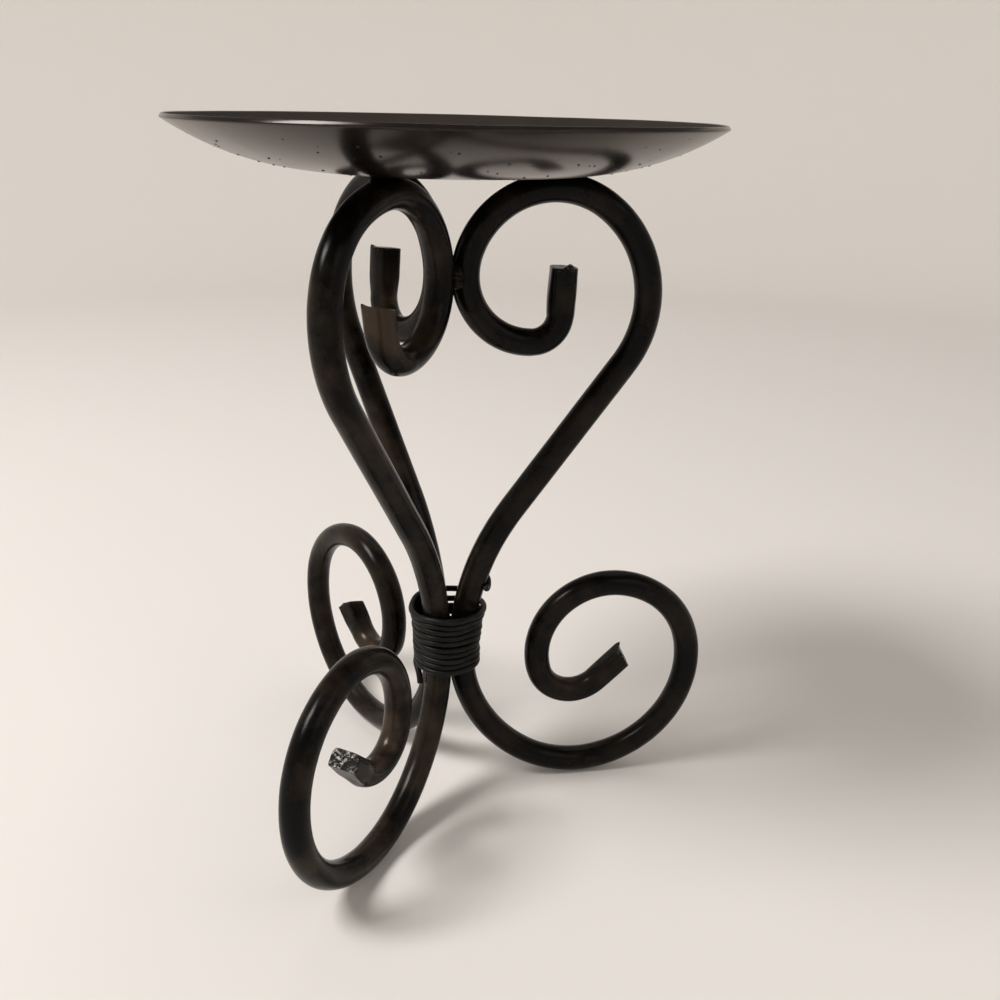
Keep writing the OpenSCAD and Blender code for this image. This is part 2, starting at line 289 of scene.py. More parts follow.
class BarEnd(NamedTuple):
    """A sheared end. Its angles are in radians round the bar."""
    burr: tuple  # the burr's angle, height and spread
    lean: tuple  # how far the face leans, two ways
    bare: float  # how much bare metal shows
    corner_d: float = CROP_CORNER_D
    thickness: float = CROP_THICKNESS
    width: float = CROP_WIDTH
    twist: float = 0.0  # how far the shears were turned about the bar
    thinned: float = 0.0  # how much thinner they left one side
    crisp: float = 20.0  # how crisp its long edges are
    # How bright the rim of its face is: worn bare steel, and above 1 a painted highlight on its rounded
    # lip.
    lip_wear_and_highlight: float = 1.0  # how bright the rim of its face is
    rubbed: float = 0.0  # how much the paint beside it was rubbed in handling


# The foot end and the scroll end of each bar.
BAR_ENDS = {
    # The right foot end's bright lip is a painted highlight on its rounded rim.
    "right": (BarEnd((2.75, 1.0, 0.14), (1.9, -0.5), 0.5, corner_d=8.15, lip_wear_and_highlight=4.0),
              BarEnd((4.45, 1.4, 0.32), (0.2, 0.0), 0.2, corner_d=8.8, thickness=8.4,
                     thinned=0.8, twist=0.1)),
    "back": (BarEnd((1.9, 0.45, 0.3), (-0.7, -1.3), 0.3, corner_d=8.8, width=6.8, twist=0.2,
                    crisp=40.0, rubbed=0.25),
             BarEnd((2.3, 0.55, 0.28), (0.87, 0.72), 0.1, corner_d=8.9, crisp=34.0)),
    "front": (BarEnd((5.0, 0.2, 0.5), (0.9, 0.0), 1.0, thinned=2.0, crisp=34.0, rubbed=0.3),
              BarEnd((4.3, 0.6, 0.35), (-2.8, 0.0), 0.0, corner_d=8.5, crisp=12.0,
                     lip_wear_and_highlight=0.1, rubbed=1.0)),
}


def crop_radius(end, reach):
    """The radius round a squeezed section: a circle cut by two flats and by its two sides."""
    phi = PHI - end.twist
    thinned = end.thinned * (1 - smoothstep(*THINNED_RUN, reach))
    across, aside = np.abs(np.cos(phi)) + 1e-9, np.abs(np.sin(phi)) + 1e-9
    half = end.thickness / 2 - np.where(np.cos(phi) > 0, thinned, 0.0)
    cuts = np.stack([np.full_like(phi, end.corner_d / 2), half / across, end.width / 2 / aside])
    return np.power(np.sum(np.power(cuts, -end.crisp), axis=0), -1 / end.crisp)


def slant(end, radii):
    """How far the sheared face leans along the bar."""
    lean = end.lean[0] * np.cos(PHI) + end.lean[1] * np.sin(PHI)
    return math.tan(math.radians(CROP_SLANT)) * radii * lean


def bar_line(side):
    """Points, headings and curvatures from the foot end of a bar to its scroll end."""
    foot, foot_heading, foot_bend = trace(FOOT_START, FOOT_RUNS + [(0, CURL_END[side])], BAR_STEP)
    scroll, scroll_heading, scroll_bend = trace(SCROLL_START, SCROLL_RUNS + HOOK_RUNS[side], BAR_STEP)
    return (np.vstack([foot[::-1], scroll[1:]]),
            np.concatenate([foot_heading[::-1] + math.pi, scroll_heading[1:]]),
            np.concatenate([-foot_bend[::-1], scroll_bend[1:]]))


class Bar:
    """The rings of one bar, and what its paint needs to know at each point."""

    def __init__(self, side):
        self.side, self.seed = side, BAR_SEEDS[side]
        line, heading, self.bend = bar_line(side)
        self.along = run_lengths(line)
        self.reach = np.minimum(self.along, self.along[-1] - self.along)
        self.nearer = np.where(self.along < self.along[-1] / 2, 0, 1)
        out, self.aside = direction(math.radians(BAR_ANGLES[side]))
        self.ahead = np.outer(np.cos(heading), out) + np.outer(np.sin(heading), UP)
        self.left = np.outer(np.cos(heading), UP) - np.outer(np.sin(heading), out)
        bow = smoothstep(BOW_START, BOW_FULL, self.along)
        bow = bow * (1 - smoothstep(BOW_EASES, BOW_END, self.along))
        bow_out, bow_aside = BOWED.get(side, (0.0, 0.0))
        self.centre = np.outer(line[:, 0] + bow_out * bow, out) + np.outer(line[:, 1], UP)
        self.centre += np.outer(bow_aside * bow, self.aside)
        self.verts, self.straight, self.raw, self.edge, self.faces = [], [], [], [], []

    def end(self, i):
        return BAR_ENDS[self.side][self.nearer[i]]

    def section(self, i):
        """The radius round ring i: round bar, flattened in the bends and squeezed at the ends."""
        length = (CURL_END, HOOK_END)[self.nearer[i]][self.side]
        squeeze = 1 - smoothstep(length - CROP_RUN - SQUEEZE_SOONER, length + SQUEEZE_LATER,
                                 self.reach[i])
        oval = OVAL_DEPTH * min(1.0, OVAL_RADIUS * abs(self.bend[i]))
        bent = BAR_D / 2 + oval * (np.sin(PHI) ** 2 - np.cos(PHI) ** 2)
        surface = [(BAR_D / 2 * math.cos(p), BAR_D / 2 * math.sin(p), self.along[i]) for p in PHI]
        waves = [sum(depth * rumple(point, size, self.seed + seed) for size, depth, seed in BAR_WAVES)
                 for point in surface]
        return bent * (1 - squeeze) + crop_radius(self.end(i), self.reach[i]) * squeeze + waves

    def ring(self, i, radii, shift, raw, edge):
        """A ring about point i, each of its points shifted along the bar."""
        x, y = radii * np.cos(PHI), radii * np.sin(PHI)
        self.verts.extend(self.centre[i] + np.outer(x, self.left[i]) + np.outer(y, self.aside)
                          + np.outer(shift, self.ahead[i]))
        place = self.along[i] + shift + PAINT_SHIFT[self.side]
        self.straight.extend(np.stack([x, y, place], axis=1) * MM)
        self.raw.extend([raw] * BAR_SIDES)
        self.edge.extend(np.broadcast_to(edge, BAR_SIDES))

    def sweep(self):
        for i, reach in enumerate(self.reach):
            end, radii = self.end(i), self.section(i)
            lean = slant(end, radii) * (1 - smoothstep(0.0, SLANT_REACH, reach))
            edge = EDGE_WORN + EDGE_UNEVEN * np.sin(EDGE_PLACES * PHI + self.seed)
            edge *= min(1.0, EDGE_PAINTED + end.bare) * (1 - smoothstep(0.0, EDGE_REACH, reach))
            self.ring(i, radii, lean, 0.0, edge)
        self.faces += strip_faces(len(self.reach), BAR_SIDES)

    def face(self, i, way):
        """The sheared face at ring i: a rounded lip, a burr on one side, and a torn middle."""
        end, section, previous = self.end(i), self.section(i), i * BAR_SIDES
        angle, height, spread = end.burr
        burr = height * np.exp([-(math.remainder(p - angle, TAU) / spread) ** 2 for p in PHI])
        for n, share in enumerate(FACE_RINGS):
            radii = section * share
            torn = np.array([
                sum(depth * rumple((x, y, z), size, self.seed + way * seed_way)
                    for size, depth, z, seed_way in TEARS)
                for x, y in zip(radii * np.cos(PHI), radii * np.sin(PHI))])
            torn *= PAINTED_TEARS + (1 - PAINTED_TEARS) * end.bare
            proud = (FACE_PROUD if n else LIP_PROUD) + torn * (1.0 if n > 1 else LIP_TEARS)
            proud += burr * smoothstep(*BURR_SHARES, share)
            first = len(self.verts)
            self.ring(i, radii, slant(end, radii) + way * proud, end.bare * (1.0 if n else LIP_BARE),
                      FACE_EDGE if n > 1 else end.lip_wear_and_highlight)
            self.faces += band_faces(previous, first, BAR_SIDES, way > 0)
            previous = first
        self.faces += fan_faces(previous, BAR_SIDES, len(self.verts), way > 0)
        self.verts.append(self.centre[i] + self.ahead[i] * way * MIDDLE_PROUD)
        place = self.along[i] + way * MIDDLE_PROUD + PAINT_SHIFT[self.side]
        self.straight.append((0.0, 0.0, place * MM))
        self.raw.append(end.bare)
        self.edge.append(FACE_EDGE)

    def rubbing(self):
        """How rubbed each point is: inside the bends, and beside an end that was handled."""
        soft_bend = np.convolve(self.bend, np.ones(BEND_BLUR) / BEND_BLUR, mode="same")
        handled = np.array([end.rubbed for end in BAR_ENDS[self.side]])[self.nearer]
        handled = handled * (1 - smoothstep(*HANDLED_RUN, self.reach))
        swept = RUBBED_RADIUS * np.outer(soft_bend, np.cos(PHI)) + handled[:, None]
        rubbed = np.zeros(len(self.verts))
        rubbed[:swept.size] = swept.ravel()
        return rubbed


def scrolled_bar(side):
    bar = Bar(side)
    bar.sweep()
    bar.face(0, -1)
    bar.face(len(bar.reach) - 1, 1)
    values = {"raw": bar.raw, "edge": bar.edge, "inside": bar.rubbing(),
              "worn": [PAINT_WORN[side]] * len(bar.verts)}
    return add_mesh("bar_" + side, bar.verts, bar.faces, values, {"straight": bar.straight})


bars = {}
for side in BAR_ANGLES:
    bar = scrolled_bar(side)
    bars[side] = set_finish(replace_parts(bar, "scroll_bar_" + side), "forged_bar")
    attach(bar, "root")


# ---------------------------------------------------------------- the dish
DISH_SEGMENTS = 288
FLOOR_RINGS = 14
WALL_RINGS = 45
# The middle of the floor is a fan of triangles inside this radius.
FAN_R = 0.6
# The rim is a cut edge with its two corners eased by this radius.
RIM_EASE = 0.24
EASE_STEPS = 5
# The sheet is a little uneven outside the middle of its floor, and its rim a little out of round.
DISH_WAVES = [(30.0, 0.10, 2.2), (12.0, 0.022, 4.1)]
WAVES_FADE = (8.0, 40.0)
OUT_OF_ROUND = 0.0006
ROUND_WAVES = 3
ROUND_SEED = 9.0
# The smoother part of the upper side ends between these distances from the floor's edge.
FLOOR_FADE = (-3.0, 2.0)
# Specks caught in the lacquer under the wall: their number, their sizes, and where on it they lie.
SPECK_COUNT = 150
SPECK_SIZES = (0.17, 0.42)
SPECK_SLOPES = (0.08, 0.9)
SPECK_SEED = 11
# A speck's rings, as shares of its size: (radius, height). The last height is that of its top.
SPECK_SIDES = 9
SPECK_RINGS = [(1.25, -0.12), (0.95, 0.12), (0.55, 0.42)]
SPECK_TOP = 0.55
FLOOR_R = DISH_FLOOR_D / 2
WALL_REACH = (DISH_D - DISH_FLOOR_D) / 2
WALL_RADIUS = (WALL_REACH ** 2 + DISH_RISE ** 2) / (2 * DISH_RISE)
RIM_SLOPE = math.asin(WALL_REACH / WALL_RADIUS)
UNDERSIDE, RIM, UPPER_SIDE = 0.0, 0.5, 1.0


def wall_point(slope, lift=0.0):
    """A point of the wall's curve, a lift above its underside."""
    radius = WALL_RADIUS - lift
    return FLOOR_R + radius * math.sin(slope), WALL_RADIUS - radius * math.cos(slope)


def eased_rim():
    """Two quarter rounds over the cut edge."""
    outward = np.array([math.cos(RIM_SLOPE), math.sin(RIM_SLOPE)])
    inward = np.array([-math.sin(RIM_SLOPE), math.cos(RIM_SLOPE)])
    low = np.array(wall_point(RIM_SLOPE)) - RIM_EASE * (outward - inward)
    high = np.array(wall_point(RIM_SLOPE, DISH_SHEET)) - RIM_EASE * (outward + inward)
    quarter = np.linspace(0, math.pi / 2, EASE_STEPS)
    return ([low + RIM_EASE * (outward * math.sin(t) - inward * math.cos(t)) for t in quarter]
            + [high + RIM_EASE * (outward * math.cos(t) + inward * math.sin(t)) for t in quarter])


def dish_profile():
    """(radius, height, side) from the middle of the underside, over the rim, to the upper middle."""
    floor = np.linspace(FAN_R, FLOOR_R, FLOOR_RINGS)
    slopes = np.linspace(0.0, RIM_SLOPE, WALL_RINGS + 1)[1:-1]
    under = [(r, 0.0) for r in floor] + [wall_point(slope) for slope in slopes]
    above = [wall_point(slope, DISH_SHEET) for slope in slopes[::-1]]
    above += [(r, DISH_SHEET) for r in floor[::-1]]
    return ([(r, z, UNDERSIDE) for r, z in under] + [(r, z, RIM) for r, z in eased_rim()]
            + [(r, z, UPPER_SIDE) for r, z in above])


def sheet_point(r, z, a):
    x, y = r * math.cos(a), r * math.sin(a)
    lift = sum(depth * rumple((x, y, 0), size, seed) for size, depth, seed in DISH_WAVES)
    lift *= smoothstep(*WAVES_FADE, r)
    around, _ = direction(a)
    spread = 1 + OUT_OF_ROUND * rumple(ROUND_WAVES * around + UP, 1.0, ROUND_SEED)
    return x * spread, y * spread, DISH_Z + z + lift


def add_specks(verts, faces):
    scatter = np.random.RandomState(SPECK_SEED)
    for _ in range(SPECK_COUNT):
        slope = RIM_SLOPE * scatter.uniform(*SPECK_SLOPES)
        a = scatter.uniform(0, TAU)
        size = scatter.uniform(*SPECK_SIZES)
        r, z = wall_point(slope)
        around, across = direction(a)
        down = around * math.sin(slope) - UP * math.cos(slope)
        outward = np.cross(across, down)
        middle = around * r + UP * (DISH_Z + z)
        first = len(verts)
        for share, height in SPECK_RINGS:
            for k in range(SPECK_SIDES):
                b = TAU * k / SPECK_SIDES
                ring_point = share * (math.cos(b) * across + math.sin(b) * outward)
                verts.append(middle + size * (ring_point + height * down))
        top = len(verts)
        verts.append(middle + size * SPECK_TOP * down)
        faces += strip_faces(len(SPECK_RINGS), SPECK_SIDES, first)
        faces += fan_faces(top - SPECK_SIDES, SPECK_SIDES, top)


def make_dish():
    profile = dish_profile()
    angles = TAU * np.arange(DISH_SEGMENTS) / DISH_SEGMENTS
    verts = [sheet_point(r, z, a) for r, z, _ in profile for a in angles]
    sides = [side for _, _, side in profile for _ in angles]
    faces = strip_faces(len(profile), DISH_SEGMENTS)
    last_ring = len(verts) - DISH_SEGMENTS
    faces += fan_faces(0, DISH_SEGMENTS, len(verts), onward=False)
    faces += fan_faces(last_ring, DISH_SEGMENTS, len(verts) + 1)
    verts += [(0.0, 0.0, DISH_Z), (0.0, 0.0, DISH_Z + DISH_SHEET)]
    sides += [UNDERSIDE, UPPER_SIDE]
    add_specks(verts, faces)
    sides += [UNDERSIDE] * (len(verts) - len(sides))
    past_floor = np.hypot(*np.array(verts).T[:2]) - FLOOR_R
    floor = (1 - smoothstep(*FLOOR_FADE, past_floor)) * (np.array(sides) > RIM)
    return add_mesh("dish_plate", verts, faces, values={"upper": sides, "floor": floor})


dish = make_dish()
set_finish(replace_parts(dish, "dish"), "lacquered_sheet")
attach(dish, "root")


# ---------------------------------------------------------------- the binding wire
# The real wire, thicker than the solid's. Its turns all but touch.
WIRE_D = 1.86
WIRE_SIDES = 14
TURN_RINGS = 48
WRAP_TOP = WAIST_Z + WRAP_RISE
WIRE_OFF = WIRE_CAD_D / 2 + WIRE_CLEARANCE
# The turns start this part of a turn on from the right bar.
FIRST_TURN = 55 / 360
# The free end: (angle round the right bar from its outer side, height over the first turn).
TIP_ROUTE = [(-47, 5.9), (-38, 5.3), (-28, 4.9), (-14, 4.9), (0, 5.4), (14, 6.2), (30, 6.9),
             (46, 7.1), (62, 6.2), (76, 4.5), (84, 2.7), (80, 1.2)]
# The tucked end: (angle on round the axis, step in to the axis, height under the last turn).
TUCK_ROUTE = [(14, 0.1, 0.5), (22, 0.1, 1.6), (27, 0.0, 3.0), (29, 0.0, 4.6)]
TIP_STEPS = 6
TUCK_STEPS = 5
# Where the turns stand off: (turns, how far out, how far up).
LOOSE = np.array([
    (0.0, 0.0, 0.0), (0.15, 0.0, -0.1), (0.3, 0.0, -0.35), (0.4, -0.1, -1.0), (0.5, -0.2, -0.9),
    (0.65, 0.0, -0.1), (0.8, 0.1, 0.35), (0.93, 0.25, 0.3), (1.0, 0.4, 0.2), (1.08, 0.3, 0.1),
    (1.25, 0.0, 0.0), (1.42, -0.2, -0.6), (1.55, -0.2, -0.6), (1.7, 0.0, 0.0), (2.3, 0.0, 0.0),
    (2.42, -0.1, -0.3), (2.55, -0.1, -0.3), (2.7, 0.0, 0.0)])
# The corners between them are eased over this part of a turn.
LOOSE_EASE = 0.04
# A turn that stands off this far isn't drawn in between the bars.
LOOSE_OUT = 0.5
# At the back the later turns hang lower: (turns, how far down), round one direction.
SLACK = np.array([(1.0, 0.0), (1.27, 2.0), (2.27, 2.15), (3.27, 2.0), (4.27, 2.6), (10.3, 1.6)])
SLACK_ANGLE = math.radians(78)
SLACK_REACH = TAU / 7
# Hand winding leaves the turns uneven, out and up: how much, how fast it changes round a turn and
# from turn to turn, and its seed.
UNEVEN_OUT = (0.42, 1.3, 1.9, 0)
UNEVEN_UP = (0.70, 1.1, 1.7, 7)
# The turns settle between these distances from each other, as shares of the wire's thickness. The
# upper turns lie looser.
CLOSE_TURNS = 0.985
FAR_TURNS = 1.04
FAR_UPPER_TURNS = 2.0
UPPER_TURNS = 5
SETTLING_STEPS = 40
# The wire's thickness varies by this share, over this length.
WIRE_VARIES = 0.02
WIRE_VARIES_OVER = 2.0
# Its cut ends: the width of the cut, and how far its rim and middle stand out.
CUT_SHARE = 0.8
CUT_RIM = 0.175
CUT_MIDDLE = 0.21


def neck_line(z, radius=NECK_RADIUS):
    """How far from the axis the neck's centre line lies at a height, or a line beside it."""
    up = max(0.0, z - WAIST_Z - WAIST_RUN / 2)
    return MEET_R + NECK_RADIUS - math.sqrt(radius ** 2 - up * up)


def ankle_outside(z):
    down = max(0.0, WAIST_Z - WAIST_RUN / 2 - z)
    return MEET_R + ANKLE[0] - math.sqrt((ANKLE[0] - BAR_D / 2) ** 2 - down * down)


def loose(turns, column):
    near = [np.interp(turns + d, LOOSE[:, 0], LOOSE[:, column]) for d in (-LOOSE_EASE, 0.0, LOOSE_EASE)]
    return sum(near) / len(near)


def uneven(turns, amount, around, onward, seed):
    a = TAU * turns
    place = Vector((around * math.cos(a) + seed, around * math.sin(a), onward * turns))
    return amount * noise.noise(place)


def wrap_point(turns):
    """The hand-wound line: each turn lies a little unevenly, and the first one stands off."""
    a = TAU * turns
    z = WRAP_TOP - WIRE_PITCH * turns
    r = WIRE_OFF + max(neck_line(z + WIRE_CAD_D / 2, NECK_RADIUS - BAR_D / 2),
                       ankle_outside(z - WIRE_CAD_D / 2))
    out = loose(turns, 1)
    tight = 1 - min(1.0, out / LOOSE_OUT)
    r += out - tight * WRAP_DRAW * (1 - math.cos(len(BAR_ANGLES) * a)) / 2
    r += uneven(turns, *UNEVEN_OUT)
    z += uneven(turns, *UNEVEN_UP) + loose(turns, 2)
    away = abs(math.remainder(a - SLACK_ANGLE, TAU)) / SLACK_REACH
    if turns > 1 and away < 1:
        z -= np.interp(turns, SLACK[:, 0], SLACK[:, 1]) * math.cos(away * math.pi / 2) ** 2
    return np.array([r * math.cos(a), r * math.sin(a), z])


def beside_bar(around, rise):
    """A point on the wire beside the right bar."""
    z = WRAP_TOP + rise
    slope = math.asin(max(0.0, z - WAIST_Z - WAIST_RUN / 2) / NECK_RADIUS)
    reach = BAR_D / 2 + WIRE_OFF
    a = math.radians(around)
    return np.array([neck_line(z) + reach * math.cos(a) / math.cos(slope), reach * math.sin(a), z])


def settled(points):
    """The turns, pushed apart or drawn together until they lie as wound wire does."""
    points = np.array(points)
    upper = np.arange(len(points) - TURN_RINGS) < UPPER_TURNS * TURN_RINGS
    widest = np.where(upper, FAR_UPPER_TURNS, FAR_TURNS)[:, None] * WIRE_D
    for _ in range(SETTLING_STEPS):
        step = points[TURN_RINGS:] - points[:-TURN_RINGS]
        gap = np.linalg.norm(step, axis=1)[:, None]
        push = np.maximum(0.0, WIRE_D * CLOSE_TURNS - gap) - np.maximum(0.0, gap - widest)
        push = push / gap * step / 2
        points[:-TURN_RINGS] -= push
        points[TURN_RINGS:] += push
    return list(points)


def through(points, steps):
    """A smooth curve through the points."""
    points = [2 * points[0] - points[1], *points, 2 * points[-1] - points[-2]]
    line = []
    for a, b, c, d in zip(points, points[1:], points[2:], points[3:]):
        for t in np.arange(steps) / steps:
            line.append(0.5 * (2 * b + (c - a) * t + (2 * a - 5 * b + 4 * c - d) * t * t
                               + (3 * b - 3 * c + d - a) * t ** 3))
    line.append(points[-2])
    return line


def wire_line():
    """The whole wire, from its free end to its tucked end."""
    tip = [beside_bar(*stop) for stop in TIP_ROUTE]
    count = int((WIRE_TURNS - FIRST_TURN) * TURN_RINGS)
    wrap = settled([wrap_point(FIRST_TURN + i / TURN_RINGS) for i in range(count + 1)])
    end = wrap[-1]
    end_r, end_angle = math.hypot(end[0], end[1]), math.atan2(end[1], end[0])
    tuck = [(end_r - inward) * direction(end_angle + math.radians(on))[0] + UP * (end[2] - down)
            for on, inward, down in TUCK_ROUTE]
    return (through(tip + [wrap[0]], TIP_STEPS)[:-1] + wrap
            + through([wrap[-1]] + tuck, TUCK_STEPS)[1:])


def make_wire():
    """A closed round tube along the wire's line, its frame carried on from ring to ring."""
    line = np.array(wire_line())
    ahead = np.gradient(line, axis=0)
    ahead /= np.linalg.norm(ahead, axis=1)[:, None]
    along = run_lengths(line)
    angles = np.arange(WIRE_SIDES) * TAU / WIRE_SIDES
    side = np.cross(ahead[0], UP)
    verts, straight = [], []
    for i, centre in enumerate(line):
        side = side - ahead[i] * side.dot(ahead[i])
        side /= np.linalg.norm(side)
        other = np.cross(ahead[i], side)
        r = WIRE_D / 2 * (1 + WIRE_VARIES * rumple((along[i], 0, 0), WIRE_VARIES_OVER, 1.0))
        for a in angles:
            verts.append(centre + r * (math.cos(a) * side + math.sin(a) * other))
            straight.append((r * math.cos(a) * MM, r * math.sin(a) * MM, along[i] * MM))
    faces = strip_faces(len(line), WIRE_SIDES)
    raw = [0.0] * len(verts)
    for i, way in ((0, -1), (len(line) - 1, 1)):
        first, ring = i * WIRE_SIDES, len(verts)
        for k in range(first, first + WIRE_SIDES):
            verts.append(line[i] + (verts[k] - line[i]) * CUT_SHARE + ahead[i] * way * CUT_RIM)
            straight.append(straight[k])
        faces += band_faces(first, ring, WIRE_SIDES, way > 0)
        faces += fan_faces(ring, WIRE_SIDES, len(verts), way > 0)
        verts.append(line[i] + ahead[i] * way * CUT_MIDDLE)
        straight.append((0.0, 0.0, along[i] * MM))
        raw += [CUT_SHARE] * WIRE_SIDES + [1.0]
    return add_mesh("wire_wrap", verts, faces, values={"raw": raw}, vectors={"straight": straight})


wire = make_wire()
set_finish(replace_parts(wire, "binding_wire"), "annealed_wire")
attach(wire, "root")


# ---------------------------------------------------------------- the weld beads
BEAD_RINGS = 46
BEAD_SIDES = 30
# The bead's outline: how blunt its ends are, how flat it is, and how far its crescents bow.
BEAD_BLUNT = 3.2
BEAD_FLAT = 0.92
BEAD_BOW = 0.25
# Its ripples: how deep, and how many radians of them from the middle to an end.
RIPPLE_DEPTH = 0.07
RIPPLE_TURNS = 15
# Its roughness: how deep, and how fast it changes round the bead and along it.
BEAD_ROUGH = 0.14
ROUGH_ROUND = 2
ROUGH_ALONG = 4
# The beads are drawn slimmer than the solids, so that their ripples stay inside those.
SCROLL_BEAD_SHARE = 0.96
DISH_BEAD_SHARE = 0.94
# How deep the beads under the dish sit beside the crowns, and on which side of its bar each one is.
DISH_BEAD_DROP = DISH_WELD_D / 3
DISH_BEAD_SIDES = {"right": 1, "back": -1, "front": -1}


def weld_bead(name, node, centre, ahead, outward, length, radius, seed):
    """A rippled bead: overlapping crescents of metal, flattened towards what it joins."""
    across = np.cross(ahead, outward)
    verts = []
    for i in range(BEAD_RINGS + 1):
        t = i / BEAD_RINGS * 2 - 1
        belly = max(0.0, 1 - abs(t) ** BEAD_BLUNT) ** 0.5
        ripple = 1 + RIPPLE_DEPTH * math.sin(t * RIPPLE_TURNS + seed) * (1 - t * t)
        for k in range(BEAD_SIDES):
            a = TAU * k / BEAD_SIDES
            spot = (ROUGH_ROUND * math.cos(a), ROUGH_ROUND * math.sin(a), ROUGH_ALONG * t)
            r = radius * belly * ripple * (1 + BEAD_ROUGH * rumple(spot, 1.0, seed))
            place = t * length / 2 - BEAD_BOW * math.cos(a) * belly
            verts.append(centre + ahead * place + outward * r * math.cos(a) * BEAD_FLAT
                         + across * r * math.sin(a))
    faces = strip_faces(BEAD_RINGS + 1, BEAD_SIDES)
    faces.append(tuple(range(BEAD_SIDES))[::-1])
    faces.append(tuple(BEAD_RINGS * BEAD_SIDES + k for k in range(BEAD_SIDES)))
    bead = add_mesh(name, verts, faces, vectors={"straight": np.array(verts) * MM})
    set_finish(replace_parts(bead, node), "weld_metal")
    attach(bead, "root")
    return bead


def scroll_bead(place, low, high):
    """The bead in the valley between two scrolls, which stand at two angles round the axis."""
    outward, _ = direction(math.radians((low + high) / 2))
    reach = MEET_R * math.cos(math.radians((high - low) / 2)) + SCROLL_WELD_D / 2
    return weld_bead("bead_scroll_" + place, "scroll_weld_" + place, outward * reach + UP * INNER_Z,
                     UP, outward, length=SCROLL_WELD_LENGTH,
                     radius=SCROLL_WELD_D / 2 * SCROLL_BEAD_SHARE, seed=1.0 + low / 50)


def dish_bead(side):
    """The bead between the dish and one side of a bar's crown."""
    along_bar, aside = direction(math.radians(BAR_ANGLES[side]))
    aside = aside * DISH_BEAD_SIDES[side]
    off = math.sqrt((BAR_D / 2) ** 2 - (BAR_D / 2 - DISH_BEAD_DROP) ** 2)
    centre = along_bar * CROWN_R + aside * off + UP * (CROWN_TOP - DISH_BEAD_DROP)
    return weld_bead("bead_dish_" + side, "dish_weld_" + side, centre, along_bar, aside,
                     length=DISH_WELD_LENGTH, radius=DISH_WELD_D / 2 * DISH_BEAD_SHARE,
                     seed=2.0 + BAR_ANGLES[side] / 40)


beads = [scroll_bead("front", BAR_ANGLES["front"], BAR_ANGLES["right"] + 360),
         scroll_bead("back", BAR_ANGLES["right"], BAR_ANGLES["back"]),
         scroll_bead("left", BAR_ANGLES["back"], BAR_ANGLES["front"])]
beads += [dish_bead(side) for side in BAR_ANGLES]


# ---------------------------------------------------------------- materials
class Nodes:
    """A short way to write a node tree. Sizes are in millimetres."""

    def __init__(self, name):
        self.material = bpy.data.materials.new(name)
        self.material.use_nodes = True
        self.tree = self.material.node_tree
        self.shader = self.tree.nodes["Principled BSDF"]

    def add(self, kind, **settings):
        node = self.tree.nodes.new(kind)
        for key, value in settings.items():
            setattr(node, key, value)
        return node

    def put(self, socket, value):
        if isinstance(value, bpy.types.NodeSocket):
            self.tree.links.new(value, socket)
        else:
            socket.default_value = value

    def calculate(self, operation, a, b, clamp=False):
        node = self.add("ShaderNodeMath", operation=operation, use_clamp=clamp)
        self.put(node.inputs[0], a)
        self.put(node.inputs[1], b)
        return node.outputs[0]

    def plus(self, a, b, clamp=False):
        return self.calculate("ADD", a, b, clamp)

    def minus(self, a, b):
        return self.calculate("SUBTRACT", a, b)

    def times(self, a, b):
        return self.calculate("MULTIPLY", a, b)

    def value(self, name):
        return self.add("ShaderNodeAttribute", attribute_name=name).outputs["Fac"]

    def straight(self, stretch=1.0):
        """The place on a bar or wire as if it were straight, its length scaled."""
        place = self.add("ShaderNodeAttribute", attribute_name="straight").outputs["Vector"]
        node = self.add("ShaderNodeVectorMath", operation="MULTIPLY")
        self.put(node.inputs[0], place)
        node.inputs[1].default_value = (1.0, 1.0, stretch)
        return node.outputs[0]

    def place(self):
        return self.add("ShaderNodeTexCoord").outputs["Object"]

    def noise(self, vector, size, detail=3.0, rough=0.55, distortion=0.0):
        node = self.add("ShaderNodeTexNoise")
        self.put(node.inputs["Vector"], vector)
        node.inputs["Scale"].default_value = 1 / (size * MM)
        node.inputs["Detail"].default_value = detail
        node.inputs["Roughness"].default_value = rough
        node.inputs["Distortion"].default_value = distortion
        return node.outputs["Fac"]

    def ramp(self, factor, low, high):
        """0 below low, 1 above high, smooth between."""
        node = self.add("ShaderNodeMapRange", interpolation_type="SMOOTHSTEP", clamp=True)
        self.put(node.inputs["Value"], factor)
        node.inputs["From Min"].default_value = low
        node.inputs["From Max"].default_value = high
        return node.outputs["Result"]

    def between(self, factor, low, high):
        """Low at 0, high at 1, even between."""
        node = self.add("ShaderNodeMapRange", clamp=True)
        self.put(node.inputs["Value"], factor)
        node.inputs["To Min"].default_value = low
        node.inputs["To Max"].default_value = high
        return node.outputs["Result"]

    def mix(self, factor, a, b):
        node = self.add("ShaderNodeMix", data_type="RGBA")
        self.put(node.inputs[0], factor)
        self.put(node.inputs[6], (*a, 1.0) if isinstance(a, tuple) else a)
        self.put(node.inputs[7], (*b, 1.0) if isinstance(b, tuple) else b)
        return node.outputs[2]

    def bump(self, height, strength, depth, below=None):
        node = self.add("ShaderNodeBump")
        node.inputs["Strength"].default_value = strength
        node.inputs["Distance"].default_value = depth * MM
        self.put(node.inputs["Height"], height)
        if below is not None:
            self.put(node.inputs["Normal"], below)
        return node.outputs["Normal"]

    def set(self, **sockets):
        for key, value in sockets.items():
            self.put(self.shader.inputs[key.replace("_", " ")], value)
        return self.material


BLACK_PAINT = (0.0014, 0.0012, 0.001)
RUBBED_PAINT = (0.046, 0.0328, 0.0232)
# The colour of worn edges, light enough to stand also as a painted highlight where a lip is bright.
EDGE_WEAR_AND_HIGHLIGHT = (0.17, 0.155, 0.14)
SHEARED_STEEL = (0.020, 0.018, 0.017)
BRIGHT_STEEL = (0.60, 0.585, 0.57)
